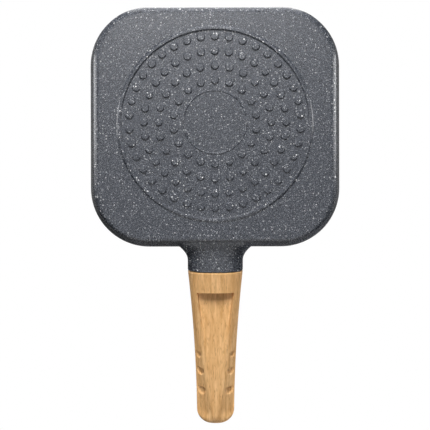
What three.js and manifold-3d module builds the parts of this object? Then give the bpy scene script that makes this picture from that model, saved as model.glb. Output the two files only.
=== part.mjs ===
// Divided square frying pan: a coated casting in three sections, with rings of studs under its base,
// and a wood handle that one hidden screw holds on the neck.
// Millimetres, +Z up, handle along -Y. The origin is under the middle of the whole pan, on the table.
import * as THREE from 'three';
import { mergeGeometries, mergeVertices } from 'three/addons/utils/BufferGeometryUtils.js';
import Module from 'manifold-3d';

const wasm = await Module();
wasm.setup();

// Pan body: outside sizes at the rim, wall and floor
const RIM_WIDTH = 195;
const RIM_DEPTH = 188;
const RIM_CORNER = 46;
const BODY_HEIGHT = 32;
const WALL_FLARE = 5;
const WALL = 3;
const FLOOR = 3.5;
const BASE_FILLET = 4.5;
const SECTION_FILLET = 5;
const RIM_CHAMFER = 0.9;

// Dividing ribs: one right across, one from it to the wall on the handle's side
const RIB = 5;
const RIB_TOP_WIDTH = 3;
const RIB_DROP = 6;
const RIB_ROOT_SPREAD = 3;
const CROSS_RIB_PLACE = -4;

// Underside: studs in rings round a centre ring, set off towards the far edge, inside the foot ring
const STUD_COUNTS = [18, 24, 32, 38];
const STUD_RING_MARGIN = 7.7;
const STUD_RINGS_SHIFT = 1.7;
const STUD_WIDTH = 6.3;
const STUD_TIP_WIDTH = 5.4;
const STUD_HEIGHT = 1.1;
const FOOT_RING_MARGIN = 11.5;
const FOOT_RING_FLAT = 1.6;
const FOOT_RING_INNER_RUN = 0.6;
const FOOT_RING_OUTER_RUN = 1.4;
const CENTRE_RING_RADIUS = 24.1;
const CENTRE_RING_FLAT = 0.6;
const CENTRE_RING_RUN = 0.4;
const CENTRE_RING_HEIGHT = 0.5;

// Neck: from the rim to the joint with the wood, flared sideways and downwards into the wall
const NECK_LENGTH = 17.5;
const NECK_WIDTH = 42.8;
const NECK_THICKNESS = 22;
const NECK_DROP = 1;
const NECK_FLARE = 8.2;
const NECK_FLARE_LENGTH = 12.2;
const NECK_UNDER_FLARE = 1.2;
const NECK_UNDER_LENGTH = 2.2;
const NECK_EDGE_ROUND = 0.8;
const HANDLE_RISE = 12;

// Wood grip
const GRIP_LENGTH = 125.2;
const GRIP_END_WIDTH = 29.5;
const GRIP_END_THICKNESS = 20;
const GRIP_END_ROUND = 11.5;
const GRIP_END_UNDER_ROUND = 8;
const OVAL_FULLNESS = 2.4;

// Flat under the grip, narrowing to a tip, and hollow flanks from its edges up to the grip's sides
const FLAT_START = 16.8;
const FLAT_SIDE_MARGIN = 4.2;
const FLAT_END_MARGIN = 5.5;
const FLAT_TAPER = 0.8;
const FLANK_TOP = 1.5;
const FLANK_HOLLOW = 0.35;

// Scoop: the front of the flat inside a narrow rim, sunk deepest at its front wall
const SCOOP_LENGTH = 70;
const SCOOP_DEPTH = 6;
const SCOOP_RIM = 1;
const SCOOP_EASE = 1.5;

// Finger notches: half-moon dishes in both flanks, each with a straight step, placed from the grip's end
const NOTCH_PLACES = [60.2, 47, 31.1];
const NOTCH_RADII = [3, 3.7, 3.9];
const NOTCH_INSETS = [3.6, 4.3, 4.6];
const NOTCH_DEPTH = 1.1;
const NOTCH_RIM_SHARE = 0.45;
const NOTCH_STEP_SHARE = 0.6;
const NOTCH_TURN = 10;

// Fixing: spigot on the neck, insert, screw, washers and plug, all on one line above the scoop
const BORE_TO_SCOOP = 2;
const BORE_ROOM = 0.5;
const SPIGOT_TO_SCOOP = 4.5;
const SPIGOT_WIDTH = 18;
const SPIGOT_WALL = 1.5;
const INSERT_ACROSS = 8;
const INSERT_LENGTH = 11;
const GRIP_WEB = 8;
const SCREW_DIAMETER = 5;
const SCREW_LENGTH = 22;
const SCREW_TIP_ROOM = 1;
const HEAD_DIAMETER = 8.5;
const HEAD_HEIGHT = 5;
const SOCKET_ACROSS = 4;
const SOCKET_DEPTH = 2.5;
const WASHER_DIAMETER = 9;
const WASHER_THICKNESS = 1;
const SPRING_THICKNESS = 1.3;
const SPRING_SLIT = 12;
const PLUG_LENGTH = 9;

// Gap between pieces that touch on the real pan
const CLEARANCE = 0.3;

// Smoothness of curved faces, and how deep one solid is sunk into the next before they are joined
const CORNER_STEPS = 8;
const FILLET_STEPS = 4;
const OVAL_STEPS = 32;
const GRIP_STEPS = 14;
const FLANK_STEPS = 3;
const STUD_SIDES = 8;
const RING_SIDES = 72;
const ROUND_SIDES = 24;
const SINK = 0.6;

const COAT = { color: 0x5d6166, roughness: 0.55, metalness: 0.1 };
const WOOD = { color: 0xcfa36d, roughness: 0.6, metalness: 0 };
const STEEL = { color: 0xb4b6b8, roughness: 0.35, metalness: 1 };

// Places that follow from the sizes above
const BASE = STUD_HEIGHT;
const FLOOR_TOP = BASE + FLOOR;
const RIB_TOP = BODY_HEIGHT - RIB_DROP;
const JOINT_REACH = RIM_DEPTH / 2 + NECK_LENGTH;
const RISE = THREE.MathUtils.degToRad(HANDLE_RISE);
const WALL_MIDDLE = RIM_DEPTH / 2 - WALL_FLARE / 2;
const NECK_HEIGHT = BODY_HEIGHT - NECK_DROP - NECK_THICKNESS / 2;
const JOINT_HEIGHT = NECK_HEIGHT + (JOINT_REACH - WALL_MIDDLE) * Math.tan(RISE);
const NECK_ROOT = (WALL_MIDDLE - JOINT_REACH) / Math.cos(RISE);
const FOOT_RING_RADIUS = RIM_DEPTH / 2 - WALL_FLARE - BASE_FILLET - FOOT_RING_MARGIN;
const FIRST_STUD_RING = CENTRE_RING_RADIUS + STUD_RING_MARGIN;
const LAST_STUD_RING = FOOT_RING_RADIUS - STUD_RING_MARGIN;
const STUD_RING_PITCH = (LAST_STUD_RING - FIRST_STUD_RING) / (STUD_COUNTS.length - 1);
const FLAT_LENGTH = GRIP_LENGTH - FLAT_START - FLAT_END_MARGIN;
const BORE_DIAMETER = Math.max(WASHER_DIAMETER, HEAD_DIAMETER) + 2 * BORE_ROOM;
const FIXING_LIFT = SCOOP_DEPTH + BORE_TO_SCOOP + BORE_DIAMETER / 2 - NECK_THICKNESS / 2;
const POCKET_CORNERS = hexagonCorners(INSERT_ACROSS + 2 * CLEARANCE);
const SPIGOT_THICKNESS = POCKET_CORNERS + 2 * SPIGOT_WALL;
const SPIGOT_LENGTH = FLAT_START - SPIGOT_TO_SCOOP;
const SHOULDER = SPIGOT_LENGTH + 2 * CLEARANCE + GRIP_WEB;
const WASHER_PLACE = SHOULDER + CLEARANCE;
const SPRING_PLACE = WASHER_PLACE + WASHER_THICKNESS + CLEARANCE;
const HEAD_PLACE = SPRING_PLACE + SPRING_THICKNESS + CLEARANCE;
const SCREW_TIP = HEAD_PLACE - SCREW_LENGTH;
const HOLE_DIAMETER = SCREW_DIAMETER + 2 * CLEARANCE;

// Width of a regular hexagon over its corners, from its width over the flats
function hexagonCorners(acrossFlats) {
  return acrossFlats / Math.cos(Math.PI / 6);
}

// A closed solid for joining and cutting, from any closed geometry
function solid(geometry) {
  const bare = geometry.clone();
  bare.deleteAttribute('normal');
  bare.deleteAttribute('uv');
  const merged = mergeVertices(bare);
  const index = merged.index.array;
  const corners = [];
  for (let i = 0; i < index.length; i += 3) {
    const [a, b, c] = index.slice(i, i + 3);
    if (a !== b && b !== c && c !== a) corners.push(a, b, c);
  }
  return new wasm.Manifold(new wasm.Mesh({
    numProp: 3,
    vertProperties: new Float32Array(merged.attributes.position.array),
    triVerts: new Uint32Array(corners),
  }));
}

function geometryOf(body) {
  const mesh = body.getMesh();
  const geometry = new THREE.BufferGeometry();
  geometry.setAttribute('position', new THREE.BufferAttribute(mesh.vertProperties, 3));
  geometry.setIndex(new THREE.BufferAttribute(mesh.triVerts, 1));
  geometry.computeVertexNormals();
  return geometry;
}

function piece(name, geometry, look) {
  const mesh = new THREE.Mesh(geometry, new THREE.MeshStandardMaterial(look));
  mesh.name = name;
  return mesh;
}

// A closed skin through convex rings with equal numbers of points, counter-clockwise seen from the last ring
function loft(rings) {
  const count = rings[0].length;
  const last = (rings.length - 1) * count;
  const corners = [];
  for (let start = 0; start < last; start += count) {
    for (let i = 0; i < count; i += 1) {
      const a = start + i;
      const b = start + ((i + 1) % count);
      corners.push(a, b, b + count, a, b + count, a + count);
    }
  }
  for (let i = 1; i + 1 < count; i += 1) {
    corners.push(0, i + 1, i, last, last + i, last + i + 1);
  }
  const geometry = new THREE.BufferGeometry().setFromPoints(rings.flat());
  geometry.setIndex(corners);
  return geometry;
}

// A ring turned round the Z axis: a flat underside between an inner and an outer slope
function raisedRing(radius, flat, innerRun, outerRun, height, sides) {
  const root = BASE + SINK;
  const inner = radius - flat / 2;
  const outer = radius + flat / 2;
  const profile = [
    new THREE.Vector2(outer, BASE - height),
    new THREE.Vector2(outer + outerRun, BASE),
    new THREE.Vector2(outer + outerRun, root),
    new THREE.Vector2(inner - innerRun, root),
    new THREE.Vector2(inner - innerRun, BASE),
    new THREE.Vector2(inner, BASE - height),
    new THREE.Vector2(outer, BASE - height),
  ];
  return new THREE.LatheGeometry(profile, sides).rotateX(Math.PI / 2);
}

// A round bar along the handle's axis, on the fixing's line
function bar(diameter, from, to, sides = ROUND_SIDES) {
  const geometry = new THREE.CylinderGeometry(diameter / 2, diameter / 2, to - from, sides);
  return geometry.rotateX(Math.PI / 2).translate(0, FIXING_LIFT, (from + to) / 2);
}

// The pan's outline at one height: a rectangle with round corners, inset from the rim
function outline(inset, z) {
  const corner = RIM_CORNER - inset;
  const points = [];
  [[1, 1], [-1, 1], [-1, -1], [1, -1]].forEach(([sideX, sideY], quarter) => {
    for (let step = 0; step <= CORNER_STEPS; step += 1) {
      const angle = (quarter + step / CORNER_STEPS) * Math.PI / 2;
      const x = sideX * (RIM_WIDTH / 2 - RIM_CORNER) + corner * Math.cos(angle);
      const y = sideY * (RIM_DEPTH / 2 - RIM_CORNER) + corner * Math.sin(angle);
      points.push(new THREE.Vector3(x, y, z));
    }
  });
  return points;
}

// How far the outer wall stands inside the rim at one height
function wallInset(z) {
  return WALL_FLARE * (BODY_HEIGHT - z) / (BODY_HEIGHT - BASE);
}

// Rings of a fillet from a flat floor up into the wall, at a distance inside the outer wall
function filletRings(inside, floor, radius) {
  const rings = [];
  for (let step = 0; step <= FILLET_STEPS; step += 1) {
    const angle = (step / FILLET_STEPS) * Math.PI / 2;
    const z = floor + radius * (1 - Math.cos(angle));
    rings.push(outline(inside + wallInset(z) + radius * (1 - Math.sin(angle)), z));
  }
  return rings;
}

function panOutside() {
  const shoulder = BODY_HEIGHT - RIM_CHAMFER;
  return solid(loft([
    ...filletRings(0, BASE, BASE_FILLET),
    outline(wallInset(shoulder), shoulder),
    outline(RIM_CHAMFER, BODY_HEIGHT),
  ]));
}

function panInside() {
  const shoulder = BODY_HEIGHT - RIM_CHAMFER;
  const above = BODY_HEIGHT + RIM_CHAMFER;
  return solid(loft([
    ...filletRings(WALL, FLOOR_TOP, SECTION_FILLET),
    outline(WALL + wallInset(shoulder), shoulder),
    outline(WALL - 2 * RIM_CHAMFER, above),
  ]));
}

// The space that the ribs may fill: it ends halfway through the wall
function ribRoom() {
  const heights = [BASE + FLOOR / 4, RIB_TOP + SINK];
  return solid(loft(heights.map((z) => outline(WALL / 2 + wallInset(z), z))));
}

// A straight rib along X with a spreading root and a narrower rounded top
function rib(length) {
  const root = FLOOR_TOP - FLOOR / 2;
  const shape = new THREE.Shape();
  shape.moveTo(-RIB / 2 - RIB_ROOT_SPREAD, root);
  shape.lineTo(RIB / 2 + RIB_ROOT_SPREAD, root);
  shape.lineTo(RIB / 2 + RIB_ROOT_SPREAD, FLOOR_TOP);
  shape.quadraticCurveTo(RIB / 2, FLOOR_TOP, RIB / 2, FLOOR_TOP + RIB_ROOT_SPREAD);
  shape.lineTo(RIB_TOP_WIDTH / 2, RIB_TOP - RIB_TOP_WIDTH / 2);
  shape.absarc(0, RIB_TOP - RIB_TOP_WIDTH / 2, RIB_TOP_WIDTH / 2, 0, Math.PI);
  shape.lineTo(-RIB / 2, FLOOR_TOP + RIB_ROOT_SPREAD);
  shape.quadraticCurveTo(-RIB / 2, FLOOR_TOP, -RIB / 2 - RIB_ROOT_SPREAD, FLOOR_TOP);
  shape.closePath();
  const options = { depth: length, bevelEnabled: false, curveSegments: FILLET_STEPS };
  return new THREE.ExtrudeGeometry(shape, options).rotateX(Math.PI / 2).rotateZ(Math.PI / 2);
}

function dividingRibs() {
  const across = solid(rib(RIM_WIDTH).translate(-RIM_WIDTH / 2, CROSS_RIB_PLACE, 0));
  const along = solid(rib(RIM_DEPTH).rotateZ(-Math.PI / 2).translate(0, CROSS_RIB_PLACE, 0));
  return across.add(along).intersect(ribRoom());
}

function studs() {
  const slope = (STUD_WIDTH - STUD_TIP_WIDTH) / STUD_HEIGHT;
  const rootWidth = STUD_WIDTH + slope * SINK;
  const height = STUD_HEIGHT + SINK;
  const all = [];
  STUD_COUNTS.forEach((count, ring) => {
    const radius = FIRST_STUD_RING + ring * STUD_RING_PITCH;
    for (let i = 0; i < count; i += 1) {
      const angle = Math.PI / 2 + (2 * Math.PI * i) / count;
      const stud = new THREE.CylinderGeometry(rootWidth / 2, STUD_TIP_WIDTH / 2, height, STUD_SIDES);
      stud.rotateX(Math.PI / 2).rotateZ(angle);
      all.push(stud.translate(radius * Math.cos(angle), radius * Math.sin(angle), height / 2));
    }
  });
  return solid(mergeGeometries(all).translate(0, STUD_RINGS_SHIFT, 0));
}

// An oval ring square to the handle's axis, in the handle's own frame: X across, Y up, Z along the handle
function oval(width, thickness, z, lift = 0) {
  const full = (value) => Math.sign(value) * Math.abs(value) ** (2 / OVAL_FULLNESS);
  const points = [];
  for (let step = 0; step < OVAL_STEPS; step += 1) {
    const angle = (2 * Math.PI * step) / OVAL_STEPS;
    const x = (width / 2) * full(Math.cos(angle));
    const y = (thickness / 2) * full(Math.sin(angle));
    points.push(new THREE.Vector3(x, lift + y, z));
  }
  return points;
}

// The neck's oval with the flare that it has at a distance from the wall
function neckRing(fromWall, z) {
  const flare = (1 - fromWall / NECK_FLARE_LENGTH) ** 2;
  const under = NECK_UNDER_FLARE * Math.max(0, 1 - fromWall / NECK_UNDER_LENGTH) ** 2;
  return oval(NECK_WIDTH + 2 * NECK_FLARE * flare, NECK_THICKNESS + under, z, -under / 2);
}

// The neck runs from inside the wall to the joint, and goes on as the spigot that the grip slides over
function neck() {
  const rings = [neckRing(0, NECK_ROOT - WALL)];
  for (let step = 0; step <= 2 * FILLET_STEPS; step += 1) {
    const fromWall = NECK_FLARE_LENGTH * (step / (2 * FILLET_STEPS));
    rings.push(neckRing(fromWall, NECK_ROOT + fromWall));
  }
  rings.push(oval(NECK_WIDTH, NECK_THICKNESS, -NECK_EDGE_ROUND));
  rings.push(oval(NECK_WIDTH - 2 * NECK_EDGE_ROUND, NECK_THICKNESS - 2 * NECK_EDGE_ROUND, 0));
  rings.push(oval(SPIGOT_WIDTH, SPIGOT_THICKNESS, 0, FIXING_LIFT));
  rings.push(oval(SPIGOT_WIDTH, SPIGOT_THICKNESS, SPIGOT_LENGTH, FIXING_LIFT));
  return solid(loft(rings));
}

// Room in the spigot for the insert, and past it for the screw's tip
function insertPocket() {
  const mouth = SPIGOT_LENGTH + SINK;
  const pocket = solid(bar(POCKET_CORNERS, SPIGOT_LENGTH - INSERT_LENGTH - CLEARANCE, mouth, 6));
  return pocket.add(solid(bar(HOLE_DIAMETER, SCREW_TIP - SCREW_TIP_ROOM, mouth)));
}

function panBody(handleFrame) {
  const outside = panOutside();
  const foot = raisedRing(
    FOOT_RING_RADIUS, FOOT_RING_FLAT, FOOT_RING_INNER_RUN, FOOT_RING_OUTER_RUN, STUD_HEIGHT, RING_SIDES);
  const centre = raisedRing(
    CENTRE_RING_RADIUS, CENTRE_RING_FLAT, CENTRE_RING_RUN, CENTRE_RING_RUN, CENTRE_RING_HEIGHT, RING_SIDES);
  centre.translate(0, STUD_RINGS_SHIFT, 0);
  const handlePart = geometryOf(neck().subtract(insertPocket())).applyMatrix4(handleFrame);
  const casting = outside
    .add(solid(handlePart))
    .add(studs())
    .add(solid(foot))
    .add(solid(centre))
    .subtract(panInside())
    .add(dividingRibs());
  return piece('pan_body', geometryOf(casting), COAT);
}

// How far a side of the grip is drawn in at one place by the rounding of its end
function endRounding(radius, z) {
  const past = Math.max(0, z - GRIP_LENGTH + radius);
  return radius - Math.sqrt(radius ** 2 - past ** 2);
}

// The grip's oval at one place: it eases from the neck's size to the end's, and its end is rounded
function gripRing(z) {
  const ease = (1 - z / GRIP_LENGTH) ** 2;
  const width = GRIP_END_WIDTH + (NECK_WIDTH - GRIP_END_WIDTH) * ease;
  const thickness = GRIP_END_THICKNESS + (NECK_THICKNESS - GRIP_END_THICKNESS) * ease;
  const drawnIn = endRounding(GRIP_END_ROUND, z);
  const drawnUp = endRounding(GRIP_END_UNDER_ROUND, z);
  return oval(width - 2 * drawnIn, thickness - 2 * drawnUp, z);
}

// Places along the grip from the start of its flat to its end, closer together on the rounded end
function flatPlaces() {
  const straight = GRIP_LENGTH - GRIP_END_ROUND;
  const places = [];
  for (let step = 0; step < GRIP_STEPS; step += 1) {
    places.push(FLAT_START + (straight - FLAT_START) * (step / GRIP_STEPS));
  }
  for (let step = 0; step <= FILLET_STEPS; step += 1) {
    places.push(straight + GRIP_END_ROUND * Math.sin((step / FILLET_STEPS) * Math.PI / 2));
  }
  return places;
}

// How far the grip reaches beside and below its axis at one place
function halfWidthAt(z) {
  return Math.max(...gripRing(z).map((point) => point.x));
}

function undersideAt(z) {
  return Math.min(...gripRing(z).map((point) => point.y));
}

function flatHalfWidthAt(z) {
  const left = Math.max(0, 1 - (z - FLAT_START) / FLAT_LENGTH);
  return (halfWidthAt(FLAT_START) - FLAT_SIDE_MARGIN) * left ** FLAT_TAPER;
}

// Height and slope of a flank at one place and distance from the middle: steepest at the flat's edge
function flankAt(z, across) {
  const inner = flatHalfWidthAt(z);
  const run = halfWidthAt(z) - inner;
  const rise = -FLANK_TOP - undersideAt(z);
  const share = (across - inner) / run;
  return {
    height: undersideAt(z) + rise * share * (1 + FLANK_HOLLOW * (1 - share)),
    slope: (rise / run) * (1 + FLANK_HOLLOW * (1 - 2 * share)),
  };
}

// What is trimmed from one side of the grip below its flank
function flankTrim(side) {
  return solid(loft(flatPlaces().map((z) => {
    const inner = flatHalfWidthAt(z);
    const outer = halfWidthAt(z) + FLANK_TOP;
    const under = undersideAt(z);
    const ring = [
      new THREE.Vector3(side * inner, under - SCOOP_DEPTH, z),
      new THREE.Vector3(side * outer, under - SCOOP_DEPTH, z),
    ];
    for (let step = FLANK_STEPS; step >= 0; step -= 1) {
      const across = inner + (outer - inner) * (step / FLANK_STEPS);
      ring.push(new THREE.Vector3(side * across, flankAt(z, across).height, z));
    }
    return side > 0 ? ring : ring.reverse();
  })));
}

// The grip's whole outside, without scoop and notches
function gripOutside() {
  const bar = solid(loft([CLEARANCE, ...flatPlaces()].map(gripRing)));
  return bar.subtract(flankTrim(1)).subtract(flankTrim(-1));
}

// The scoop, square across, with a floor that eases out of its depth
function scoop() {
  const places = flatPlaces().filter((z) => z < FLAT_START + SCOOP_LENGTH);
  return solid(loft(places.map((z) => {
    const left = 1 - (z - FLAT_START) / SCOOP_LENGTH;
    const halfWidth = flatHalfWidthAt(z) - SCOOP_RIM;
    const floor = undersideAt(z) + SCOOP_DEPTH * left ** SCOOP_EASE;
    const below = undersideAt(z) - SCOOP_DEPTH;
    return [
      new THREE.Vector3(halfWidth, below, z),
      new THREE.Vector3(halfWidth, floor, z),
      new THREE.Vector3(-halfWidth, floor, z),
      new THREE.Vector3(-halfWidth, below, z),
    ];
  })));
}

// A shallow dish below Y = 0, with a flat floor, a curved rim and a straight step on the neck's side
function notchDish(width) {
  const profile = [new THREE.Vector2(0, -NOTCH_DEPTH)];
  for (let step = 0; step <= FILLET_STEPS; step += 1) {
    const share = step / FILLET_STEPS;
    const radius = width * (1 - NOTCH_RIM_SHARE * (1 - share));
    profile.push(new THREE.Vector2(radius, -NOTCH_DEPTH * (1 - share ** 2)));
  }
  profile.push(new THREE.Vector2(width + NOTCH_DEPTH, NOTCH_DEPTH));
  profile.push(new THREE.Vector2(0, NOTCH_DEPTH));
  const size = 4 * width;
  const step = new THREE.BoxGeometry(size, size, size);
  step.translate(0, 0, -NOTCH_STEP_SHARE * width - size / 2);
  return solid(new THREE.LatheGeometry(profile, ROUND_SIDES)).subtract(solid(step));
}

// A finger notch in one flank, with its step at a place along the grip
function notch(number, side) {
  const radius = NOTCH_RADII[number];
  const z = GRIP_LENGTH - NOTCH_PLACES[number] + NOTCH_STEP_SHARE * radius;
  const across = halfWidthAt(z) - NOTCH_INSETS[number];
  const { height, slope } = flankAt(z, across);
  const along = new THREE.Vector3(0, 0, 1);
  const outward = new THREE.Vector3(side * slope, -1, 0).normalize();
  const turn = new THREE.Matrix4().makeRotationY(-side * THREE.MathUtils.degToRad(NOTCH_TURN));
  const seat = new THREE.Matrix4().makeBasis(outward.clone().cross(along), outward, along);
  seat.setPosition(side * across, height, z);
  return solid(geometryOf(notchDish(radius)).applyMatrix4(seat.multiply(turn)));
}

function handleGrip() {
  const socketWidth = SPIGOT_WIDTH + 2 * CLEARANCE;
  const socketThickness = SPIGOT_THICKNESS + 2 * CLEARANCE;
  const socketDepth = SPIGOT_LENGTH + 2 * CLEARANCE;
  const socket = solid(loft([
    oval(socketWidth, socketThickness, -SINK, FIXING_LIFT),
    oval(socketWidth, socketThickness, socketDepth, FIXING_LIFT),
  ]));
  const hole = solid(bar(HOLE_DIAMETER, socketDepth - SINK, SHOULDER + SINK));
  const bore = solid(bar(BORE_DIAMETER, SHOULDER, GRIP_LENGTH + SINK));
  let grip = gripOutside().subtract(socket).subtract(hole).subtract(bore).subtract(scoop());
  NOTCH_PLACES.forEach((place, number) => {
    grip = grip.subtract(notch(number, 1)).subtract(notch(number, -1));
  });
  return piece('handle_grip', geometryOf(grip), WOOD);
}

// The plug's outer end follows the grip's rounded end
function endPlug() {
  const core = solid(bar(BORE_DIAMETER - 2 * CLEARANCE, GRIP_LENGTH - PLUG_LENGTH, GRIP_LENGTH + SINK));
  return piece('end_plug', geometryOf(core.intersect(gripOutside())), WOOD);
}

// A flat shape with a round hole, starting at a place on the fixing's line
function perforated(shape, holeDiameter, thickness, place) {
  const hole = new THREE.Path();
  hole.absarc(0, 0, holeDiameter / 2, 0, 2 * Math.PI);
  shape.holes.push(hole);
  const options = { depth: thickness, bevelEnabled: false, curveSegments: ROUND_SIDES / 2 };
  return new THREE.ExtrudeGeometry(shape, options).translate(0, FIXING_LIFT, place);
}

function threadInsert() {
  const points = [];
  const radius = hexagonCorners(INSERT_ACROSS) / 2;
  for (let corner = 0; corner < 6; corner += 1) {
    const angle = (corner * Math.PI) / 3;
    points.push(new THREE.Vector2(radius * Math.sin(angle), radius * Math.cos(angle)));
  }
  const shape = new THREE.Shape(points);
  const place = SPIGOT_LENGTH - INSERT_LENGTH;
  return piece('thread_insert', perforated(shape, HOLE_DIAMETER, INSERT_LENGTH, place), STEEL);
}

function flatWasher() {
  const shape = new THREE.Shape();
  shape.absarc(0, 0, WASHER_DIAMETER / 2, 0, 2 * Math.PI);
  return piece('flat_washer', perforated(shape, HOLE_DIAMETER, WASHER_THICKNESS, WASHER_PLACE), STEEL);
}

function springWasher() {
  const slit = THREE.MathUtils.degToRad(SPRING_SLIT);
  const shape = new THREE.Shape();
  shape.absarc(0, 0, WASHER_DIAMETER / 2, slit, 2 * Math.PI);
  shape.absarc(0, 0, HOLE_DIAMETER / 2, 2 * Math.PI, slit, true);
  shape.closePath();
  const options = { depth: SPRING_THICKNESS, bevelEnabled: false, curveSegments: ROUND_SIDES / 2 };
  const geometry = new THREE.ExtrudeGeometry(shape, options).translate(0, FIXING_LIFT, SPRING_PLACE);
  return piece('spring_washer', geometry, STEEL);
}

function handleScrew() {
  const top = HEAD_PLACE + HEAD_HEIGHT;
  const shank = solid(bar(SCREW_DIAMETER, SCREW_TIP, HEAD_PLACE + SINK));
  const head = solid(bar(HEAD_DIAMETER, HEAD_PLACE, top));
  const key = solid(bar(hexagonCorners(SOCKET_ACROSS), top - SOCKET_DEPTH, top + SINK, 6));
  return piece('handle_screw', geometryOf(shank.add(head).subtract(key)), STEEL);
}

const pan = new THREE.Group();
const handle = new THREE.Group();
handle.position.set(0, -JOINT_REACH, JOINT_HEIGHT);
handle.rotation.x = Math.PI / 2 - RISE;
handle.updateMatrix();
handle.add(handleGrip(), threadInsert(), handleScrew(), flatWasher(), springWasher(), endPlug());
pan.add(panBody(handle.matrix), handle);

// The origin goes under the middle of the whole length
const box = new THREE.Box3().setFromObject(pan, true);
pan.position.y = -(box.min.y + box.max.y) / 2;

export default pan;
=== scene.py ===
import math

import bmesh
import bpy
import numpy as np
from mathutils import Matrix, Vector
from mathutils.geometry import delaunay_2d_cdt


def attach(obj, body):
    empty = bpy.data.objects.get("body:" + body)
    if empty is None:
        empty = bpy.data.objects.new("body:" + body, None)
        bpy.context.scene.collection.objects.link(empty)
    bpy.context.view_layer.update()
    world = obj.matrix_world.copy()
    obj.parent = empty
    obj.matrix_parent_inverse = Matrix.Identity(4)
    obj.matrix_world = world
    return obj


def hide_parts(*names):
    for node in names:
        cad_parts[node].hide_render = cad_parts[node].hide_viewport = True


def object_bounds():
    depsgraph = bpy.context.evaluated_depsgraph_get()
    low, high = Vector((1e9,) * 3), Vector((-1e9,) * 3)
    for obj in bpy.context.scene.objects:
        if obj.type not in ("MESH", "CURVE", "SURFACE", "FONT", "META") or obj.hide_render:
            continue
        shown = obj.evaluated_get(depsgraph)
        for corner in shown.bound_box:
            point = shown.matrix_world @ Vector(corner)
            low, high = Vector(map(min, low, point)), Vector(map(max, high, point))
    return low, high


# Divided square frying pan: a speckled casting with studs under its base, and a wood handle with a scoop
# and finger notches. Sizes are in millimetres and angles in degrees. A mesh is made in metres, in the
# frame's axes: +Z up, handle along -Y.
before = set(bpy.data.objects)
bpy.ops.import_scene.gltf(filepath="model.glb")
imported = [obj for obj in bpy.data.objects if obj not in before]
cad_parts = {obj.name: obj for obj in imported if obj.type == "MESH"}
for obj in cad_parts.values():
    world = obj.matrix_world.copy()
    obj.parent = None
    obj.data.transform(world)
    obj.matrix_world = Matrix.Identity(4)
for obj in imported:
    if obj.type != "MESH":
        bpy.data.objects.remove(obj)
CAD_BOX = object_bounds()
MM = 0.001

# Pan body
RIM_WIDTH = 195
RIM_DEPTH = 188
RIM_CORNER = 46
BODY_HEIGHT = 32
WALL_FLARE = 5
WALL = 3
FLOOR = 3.5
BASE_FILLET = 4.5
NEAR_BASE_FILLET = 2
WALL_FILLET = 5
EDGE_ROUND = 1.2

# Dividing ribs
RIB = 5
RIB_TOP_WIDTH = 3
RIB_DROP = 6
RIB_FILLET = 3
CROSS_RIB_PLACE = -4
SECTION_CORNER = 7

# Underside
STUD_COUNTS = (18, 24, 32, 38)
STUD_RING_MARGIN = 7.7
STUD_RINGS_SHIFT = 1.7
STUD_WIDTH = 6.3
STUD_TIP_WIDTH = 5.4
STUD_HEIGHT = 1.1
STUD_ROUND = 0.3
FOOT_RING_MARGIN = 11.5
FOOT_RING_FLAT = 1.6
FOOT_RING_INNER_RUN = 0.6
FOOT_RING_OUTER_RUN = 1.4
FOOT_RING_ROUND = 0.4
CENTRE_RING_RADIUS = 24.1
CENTRE_RING_FLAT = 0.6
CENTRE_RING_RUN = 0.4
CENTRE_RING_HEIGHT = 0.5
CENTRE_RING_ROUND = 0.25

# Neck
NECK_LENGTH = 17.5
NECK_WIDTH = 42.8
NECK_THICKNESS = 22
NECK_DROP = 1
NECK_FLARE = 8.2
NECK_FLARE_LENGTH = 12.2
NECK_UNDER_FLARE = 1.2
NECK_UNDER_LENGTH = 2.2
NECK_EDGE_ROUND = 0.8
NECK_SUNK = 2.2
HANDLE_RISE = 12

# Wood grip
GRIP_LENGTH = 125.2
GRIP_END_WIDTH = 29.5
GRIP_END_THICKNESS = 20
GRIP_END_ROUND = 11.5
GRIP_END_UNDER_ROUND = 8
GRIP_FRONT_ROUND = 1.2
OVAL_FULLNESS = 2.4

# Flat, flanks and scoop under the grip
FLAT_START = 16.8
FLAT_SIDE_MARGIN = 4.2
FLAT_END_MARGIN = 5.5
FLAT_TAPER = 0.8
FLANK_TOP = 1.5
FLANK_HOLLOW = 0.35
FLANK_SOFTNESS = 0.8
KEEL_ROUND = 1.2
SCOOP_LENGTH = 70
SCOOP_DEPTH = 6
SCOOP_RIM = 1
SCOOP_EASE = 1.5
SCOOP_SIDE_RUN = 1.4
SCOOP_FRONT_RUN = 0.8

# Finger notches
NOTCH_PLACES = (60.2, 47, 31.1)
NOTCH_RADII = (3, 3.7, 3.9)
NOTCH_INSETS = (3.6, 4.3, 4.6)
NOTCH_DEPTH = 1.1
NOTCH_RIM_SHARE = 0.45
NOTCH_STEP_SHARE = 0.6
NOTCH_STEP_RUN = 0.5
NOTCH_TURN = 10

# Fixing inside neck and grip
BORE_TO_SCOOP = 2
BORE_ROOM = 0.5
SPIGOT_TO_SCOOP = 4.5
SPIGOT_WIDTH = 18
SPIGOT_WALL = 1.5
INSERT_ACROSS = 8
INSERT_LENGTH = 11
GRIP_WEB = 8
SCREW_DIAMETER = 5
SCREW_LENGTH = 22
SCREW_TIP_ROOM = 1
WASHER_DIAMETER = 9
WASHER_THICKNESS = 1
SPRING_THICKNESS = 1.3
PLUG_LENGTH = 9
PLUG_EDGE = 0.35
PLUG_RING_SHARES = (0.85, 0.6, 0.3, 0.1)
CLEARANCE = 0.3
CUT_PAST = 1

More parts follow.
